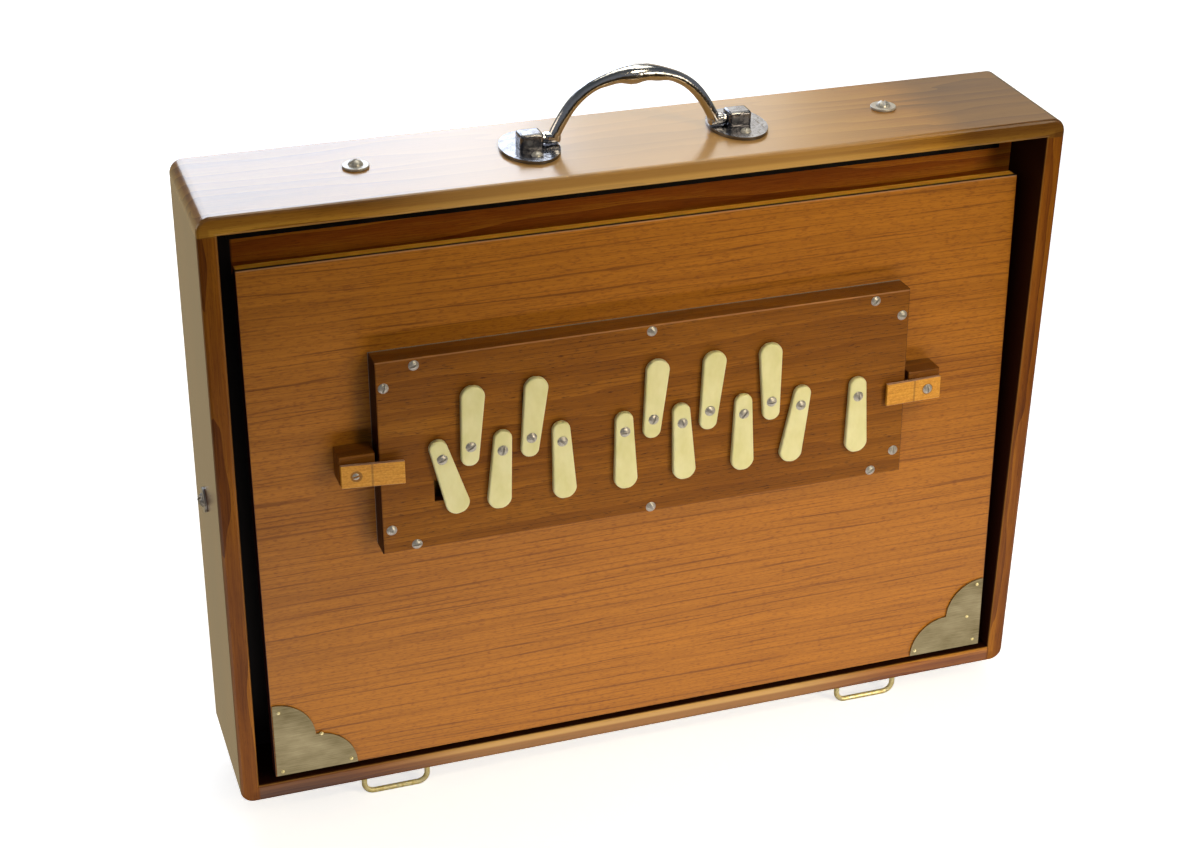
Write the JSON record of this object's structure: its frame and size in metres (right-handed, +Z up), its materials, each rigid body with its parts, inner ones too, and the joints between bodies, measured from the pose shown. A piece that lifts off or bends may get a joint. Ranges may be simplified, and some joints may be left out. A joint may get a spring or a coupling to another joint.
{
  "type": "shruti box",
  "caption": "Wooden shruti box with a swinging front reed board, turning levers over sound holes, a pumping back board, folded bellows, a chrome bail handle and bent wire feet.",
  "frame": {"origin": "centre of the footprint, on the surface that the feet stand on", "axes": "+Z up, +X to the right seen from the lever side, -Y towards the player"},
  "size_m": [0.4064, 0.0779, 0.3519],
  "materials": {
    "case_wood": "varnished, glossy",
    "inner_wood": "stained red-brown",
    "ply_wood": "bare orange edge",
    "facing_wood": "straight-grained facing, satin",
    "reed_wood": "dark stained, satin",
    "lever_ivory": "ivory, slightly glossy",
    "clip_leather": "light tan",
    "flap_leather": "soft pale",
    "black_cloth": "black coated cloth",
    "grey_felt": "pale grey",
    "reed_brass": "milled",
    "foot_brass": "polished",
    "plate_metal": "satin, nickel-toned",
    "screw_steel": "bright",
    "handle_chrome": "mirror plated"
  },
  "bodies": {
    "case": {"frame_top": "case_wood", "frame_bottom": "case_wood", "frame_left": "case_wood", "frame_right": "case_wood", "centre_board": "inner_wood", "handle_base_left": "handle_chrome", "handle_base_right": "handle_chrome", "foot_front_left": "foot_brass", "foot_front_right": "foot_brass", "foot_back_left": "foot_brass", "foot_back_right": "foot_brass", "front_bellows": "black_cloth", "back_bellows": "black_cloth", "reservoir_spring_left": "screw_steel", "reservoir_spring_right": "screw_steel"},
    "front": {"front_board": "ply_wood", "front_laminate": "facing_wood", "reed_gasket": "grey_felt", "reed_box_rim": "reed_wood", "reed_board": "reed_wood", "reed_row_lower": "reed_brass", "reed_row_upper": "reed_brass", "clip_block_left": "reed_wood", "clip_block_right": "reed_wood", "corner_plate_left": "plate_metal", "corner_plate_right": "plate_metal", "clip_screw_left": "screw_steel", "clip_screw_right": "screw_steel", "lever_screw_c": "screw_steel", "lever_screw_d": "screw_steel", "lever_screw_e": "screw_steel", "lever_screw_f": "screw_steel", "lever_screw_g": "screw_steel", "lever_screw_a": "screw_steel", "lever_screw_b": "screw_steel", "lever_screw_c2": "screw_steel", "lever_screw_cs": "screw_steel", "lever_screw_ds": "screw_steel", "lever_screw_fs": "screw_steel", "lever_screw_gs": "screw_steel", "lever_screw_as": "screw_steel"},
    "back": {"back_board": "facing_wood"},
    "bail": {"handle_bail": "handle_chrome"},
    "transfer_valve": {"transfer_flap": "flap_leather"},
    "intake_valve": {"intake_flap": "flap_leather"},
    "tab_left": {"clip_left": "clip_leather"},
    "tab_right": {"clip_right": "clip_leather"},
    "key_c": {"lever_c": "lever_ivory"},
    "key_d": {"lever_d": "lever_ivory"},
    "key_e": {"lever_e": "lever_ivory"},
    "key_f": {"lever_f": "lever_ivory"},
    "key_g": {"lever_g": "lever_ivory"},
    "key_a": {"lever_a": "lever_ivory"},
    "key_b": {"lever_b": "lever_ivory"},
    "key_c2": {"lever_c2": "lever_ivory"},
    "key_cs": {"lever_cs": "lever_ivory"},
    "key_ds": {"lever_ds": "lever_ivory"},
    "key_fs": {"lever_fs": "lever_ivory"},
    "key_gs": {"lever_gs": "lever_ivory"},
    "key_as": {"lever_as": "lever_ivory"}
  },
  "joints": [
    {"name": "front_board_swing", "type": "hinge", "parent": "case", "child": "front", "pos_m": [0, -0.00899, 0.28368], "axis": [-1, 0, 0], "range_deg": [0, 10], "stiffness_Nm_per_rad": 4, "springref_deg": -20.05, "deforming": ["front_bellows", "reservoir_spring_left", "reservoir_spring_right"]},
    {"name": "back_board_pump", "type": "hinge", "parent": "case", "child": "back", "pos_m": [0, 0.01681, 0.02537], "axis": [-1, 0, 0], "range_deg": [0, 18], "deforming": ["back_bellows"]},
    {"name": "bail_swing", "type": "hinge", "parent": "case", "child": "bail", "pos_m": [0.002, 0.00391, 0.32135], "axis": [1, 0, 0], "range_deg": [-80, 80]},
    {"name": "transfer_flap_lift", "type": "hinge", "parent": "case", "child": "transfer_valve", "pos_m": [0, 0.00077, 0.106], "axis": [-1, 0, 0], "range_deg": [0, 10]},
    {"name": "intake_flap_lift", "type": "hinge", "parent": "back", "child": "intake_valve", "pos_m": [0, 0.02708, 0.2241], "axis": [-1, 0, 0], "range_deg": [0, 8]},
    {"name": "tab_left_turn", "type": "hinge", "parent": "front", "child": "tab_left", "pos_m": [-0.14125, -0.03397, 0.18625], "axis": [0, -0.9986, 0.0523], "range_deg": [-90, 90]},
    {"name": "tab_right_turn", "type": "hinge", "parent": "front", "child": "tab_right", "pos_m": [0.14125, -0.03397, 0.18625], "axis": [0, -0.9986, 0.0523], "range_deg": [-90, 90]},
    {"name": "lever_c_turn", "type": "hinge", "parent": "front", "child": "key_c", "pos_m": [-0.10161, -0.03392, 0.18825], "axis": [0, -0.9986, 0.0523], "range_deg": [-28.2, 11.8]},
    {"name": "lever_d_turn", "type": "hinge", "parent": "front", "child": "key_d", "pos_m": [-0.07309, -0.03392, 0.18825], "axis": [0, -0.9986, 0.0523], "range_deg": [-8.2, 31.8]},
    {"name": "lever_e_turn", "type": "hinge", "parent": "front", "child": "key_e", "pos_m": [-0.0445, -0.03392, 0.18825], "axis": [0, -0.9986, 0.0523], "range_deg": [-15.1, 24.9]},
    {"name": "lever_f_turn", "type": "hinge", "parent": "front", "child": "key_f", "pos_m": [-0.01401, -0.03392, 0.18825], "axis": [0, -0.9986, 0.0523], "range_deg": [-13.9, 26.1]},
    {"name": "lever_g_turn", "type": "hinge", "parent": "front", "child": "key_g", "pos_m": [0.0144, -0.03392, 0.18825], "axis": [0, -0.9986, 0.0523], "range_deg": [-15.7, 24.3]},
    {"name": "lever_a_turn", "type": "hinge", "parent": "front", "child": "key_a", "pos_m": [0.04531, -0.03392, 0.18825], "axis": [0, -0.9986, 0.0523], "range_deg": [-12.5, 27.5]},
    {"name": "lever_b_turn", "type": "hinge", "parent": "front", "child": "key_b", "pos_m": [0.0744, -0.03392, 0.18825], "axis": [0, -0.9986, 0.0523], "range_deg": [-2.7, 37.3]},
    {"name": "lever_c2_turn", "type": "hinge", "parent": "front", "child": "key_c2", "pos_m": [0.10421, -0.03392, 0.18825], "axis": [0, -0.9986, 0.0523], "range_deg": [-12.9, 27.1]},
    {"name": "lever_cs_turn", "type": "hinge", "parent": "front", "child": "key_cs", "pos_m": [-0.08799, -0.0337, 0.19244], "axis": [0, -0.9986, 0.0523], "range_deg": [-8.4, 31.6]},
    {"name": "lever_ds_turn", "type": "hinge", "parent": "front", "child": "key_ds", "pos_m": [-0.05919, -0.0337, 0.19244], "axis": [0, -0.9986, 0.0523], "range_deg": [-5.8, 34.2]},
    {"name": "lever_fs_turn", "type": "hinge", "parent": "front", "child": "key_fs", "pos_m": [0, -0.0337, 0.19244], "axis": [0, -0.9986, 0.0523], "range_deg": [-7.1, 32.9]},
    {"name": "lever_gs_turn", "type": "hinge", "parent": "front", "child": "key_gs", "pos_m": [0.0281, -0.0337, 0.19244], "axis": [0, -0.9986, 0.0523], "range_deg": [-6.9, 33.1]},
    {"name": "lever_as_turn", "type": "hinge", "parent": "front", "child": "key_as", "pos_m": [0.05929, -0.0337, 0.19244], "axis": [0, -0.9986, 0.0523], "range_deg": [-14.1, 25.9]}
  ]
}
